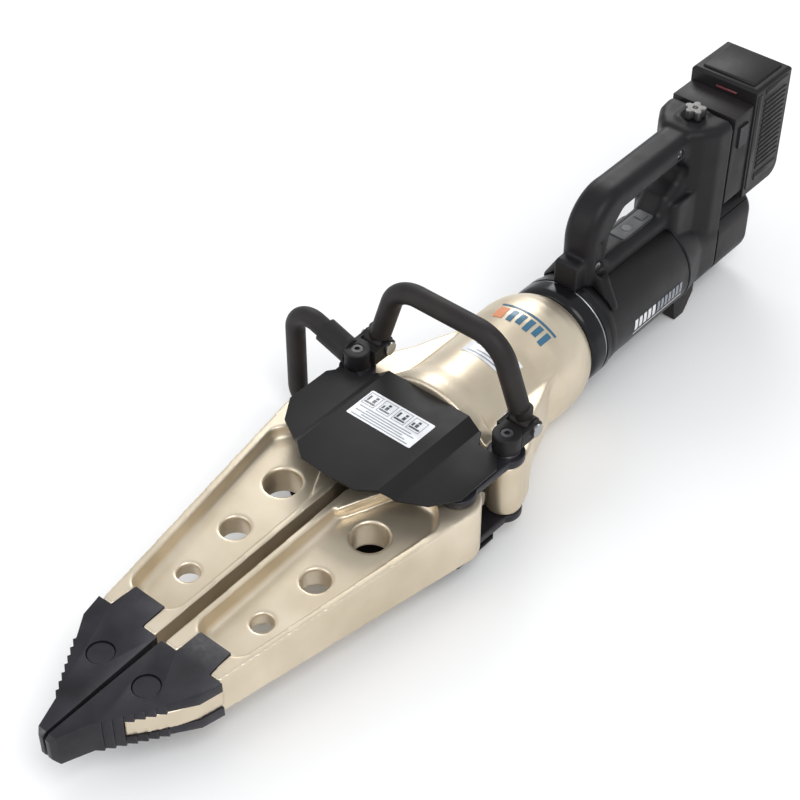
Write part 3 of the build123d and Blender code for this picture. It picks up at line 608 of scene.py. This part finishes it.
def housing_prints():
    body = "housing"
    casting = bpy.data.objects["housing_casting"]
    rear = extent("front_housing")[1].x
    front = rear - 118
    sticker = [(front, front + 27, -38, 16)]
    wrapped_print("housing_sticker", casting, sticker, FILM_LIFT, WHITE_FILM, body)
    lines = []
    for i in range(6):
        x = front + 3 + 4 * i
        lines.append((x, x + 1.2, -34 + 5 * (i % 2), 10 - 7 * (i % 3)))
    wrapped_print("housing_sticker_lines", casting, lines, OVER_FILM_LIFT, GREY_INK, body)
    front, end = rear - 63, rear - 48
    orange = [(front, end, 12, 22)]
    wrapped_print("housing_mark_orange", casting, orange, MARK_LIFT, ORANGE_INK, body)
    bars = [(front + 2 * (i % 2), end, -34 + 9 * i, -28.5 + 9 * i) for i in range(5)]
    bars.append((end + 3, end + 5.5, -36, 24))
    wrapped_print("housing_mark_blue", casting, bars, MARK_LIFT, BLUE_INK, body)


def tube_prints():
    body = "housing"
    tube = bpy.data.objects["tube_skin"]
    front = extent("motor_tube")[0].x + 41
    bars = [(front + 7.4 * i, front + 5 + 7.4 * i, -98, -84) for i in range(5)]
    bars.append((front - 1, front + 82, -103.5, -101.5))
    wrapped_print("tube_mark_white", tube, bars, FILM_LIFT, WHITE_FILM, body)
    bars = [(front + 38 + 6.4 * i, front + 42.4 + 6.4 * i, -98, -84) for i in range(7)]
    wrapped_print("tube_mark_grey", tube, bars, FILM_LIFT, GREY_INK, body)


# --- pieces ----------------------------------------------------------------

def arms_and_tips():
    for side in ("left", "right"):
        sign = -1 if side == "left" else 1
        ridges = []
        for level in (1, -1):
            front = (326, sign * 13.5, level * 17.5, 6.5)
            rear = (394, sign * 47, level * 25, 8)
            ridges.append((front, rear))
        cast_copy("arm_casting_" + side, ["arm_" + side], 0.0012, 5, ALLOY, ridges)
        machined_copy("tip_fork_" + side, ["tip_" + side], 0.0009, TIP_STEEL)
        machined_copy("link_plates_" + side, ["link_straps_" + side], 0.0012, TIP_STEEL)


def housing():
    cast_copy("housing_casting", ["front_housing"], 0.0015, 14, ALLOY)


def tube_and_ring():
    low, high = extent("flange_ring")
    front, rear, radius = low.x, high.x, high.z
    bore, groove = radius - 10.3, radius - 1.6
    ring = [
        (front, bore), (front, radius - 4), (front + 1.2, radius - 2.3),
        (front + 4, radius - 0.8), (front + 7, radius),
        (rear - 11.6, radius), (rear - 11, radius - 0.6), (rear - 10.7, groove),
        (rear - 8.6, groove), (rear - 8.3, radius - 0.6), (rear - 7.7, radius - 0.1),
        (rear - 1.8, radius - 0.1), (rear - 0.6, radius - 0.9),
        (rear, radius - 2.3), (rear, bore),
    ]
    dress(turned("ring_skin", ring), ["flange_ring"], GLOSS_RING, TURNED_SHARP)
    seam = [
        (rear - 10.4, groove - 0.9), (rear - 10.4, groove + 0.4), (rear - 10, groove + 0.7),
        (rear - 9.2, groove + 0.7), (rear - 8.8, groove + 0.4), (rear - 8.8, groove - 0.9),
    ]
    extra(turned("ring_wire", seam), STEEL, "housing")
    low, high = extent("motor_tube")
    front, rear, shoulder = low.x, high.x, high.z
    radius, wall = shoulder - 1.5, 3.5
    tube = [
        (front, radius - wall), (front, shoulder - 1), (front + 1, shoulder - 0.3),
        (front + 3, shoulder), (front + 8.5, shoulder), (front + 9.6, shoulder - 0.5),
        (front + 10.4, radius + 0.2), (front + 12, radius),
        (rear - 1.4, radius), (rear - 0.2, radius - 0.6), (rear - 0.1, radius - wall),
    ]
    dress(turned("tube_skin", tube), ["motor_tube"], TUBE_BLACK, TURNED_SHARP)


def rear_body():
    shells = ["handle_shell_left", "handle_shell_right"]
    cast_copy("handle_moulding", shells, 0.0014, 16, BLACK_MOULDING)
    machined_copy("base_moulding", ["rear_base"], 0.003, BLACK_MOULDING, 4)
    machined_copy("foot_pads", ["rear_feet"], 0.003, SLEEVE, 4)
    machined_copy("switch_block", ["switch_panel"], 0.001, GREY_MOULDING)


def battery():
    machined_copy("battery_shell", ["battery_case"], 0.003, BATTERY_MOULDING, 4)
    machined_copy("battery_shoe", ["battery_adapter"], 0.0004, BATTERY_MOULDING, 2)
    body, slot = "battery", "black_plastic"
    low, high = extent("battery_case")
    ribs_front, ribs_rear = low.x + 18, high.x - 6
    rib_count, rib_pitch, rib_height = 15, 5.6, 3.4
    for name, side in (("left", -1), ("right", 1)):
        inner, outer = sorted((side * (high.y - 0.8), side * (high.y + 1.0)))
        ribs = []
        for i in range(rib_count):
            z = low.z + 26 + rib_pitch * i
            ribs.append((ribs_front, ribs_rear, inner, outer, z, z + rib_height))
        block("battery_ribs_" + name, ribs, 0.0007, BATTERY_MOULDING, body, 2)
        rails = [(low.x + 3.5, low.x + 11.5, inner, outer, low.z + 8, high.z - 8),
                 (ribs_front, ribs_rear, inner, outer, low.z + 12, low.z + 20),
                 (ribs_front, ribs_rear, inner, outer, high.z - 12, high.z - 6)]
        block("battery_rails_" + name, rails, 0.001, BATTERY_MOULDING, body, 2)
    crown = [(low.x + 6, high.x - 6, low.y + 8, high.y - 8, high.z - 1.4, high.z + 2.5)]
    block("battery_crown", crown, 0.0028, BATTERY_MOULDING, body, 4)
    mark = [(low.x - 1.7, low.x + 0.1, -16, 8, high.z - 11.8, high.z - 9.6)]
    block("battery_mark", mark, 0.0006, RED_INK, body, 2)


def fittings():
    for side in ("left", "right"):
        machined_copy("bracket_block_" + side, ["bail_bracket_" + side], 0.0009, BLACK_COAT)
    machined_copy("clamp_block", ["side_handle_clamp"], 0.0012, BLACK_COAT)
    machined_copy("button_cap", ["power_button"], 0.0006, GREY_MOULDING)
    cast_copy("knob_star", ["star_knob"], 0.0006, 5, CHROME)


def covers():
    machined_copy("top_guard", ["top_cover"], 0.0006, BLACK_COAT, 2)
    machined_copy("bottom_guard", ["bottom_cover"], 0.0006, BLACK_COAT, 2)


make_camera()
make_stage()
paint_cad_nodes()
arms_and_tips()
housing()
tube_and_ring()
rear_body()
battery()
fittings()
covers()
cover_print()
housing_prints()
tube_prints()
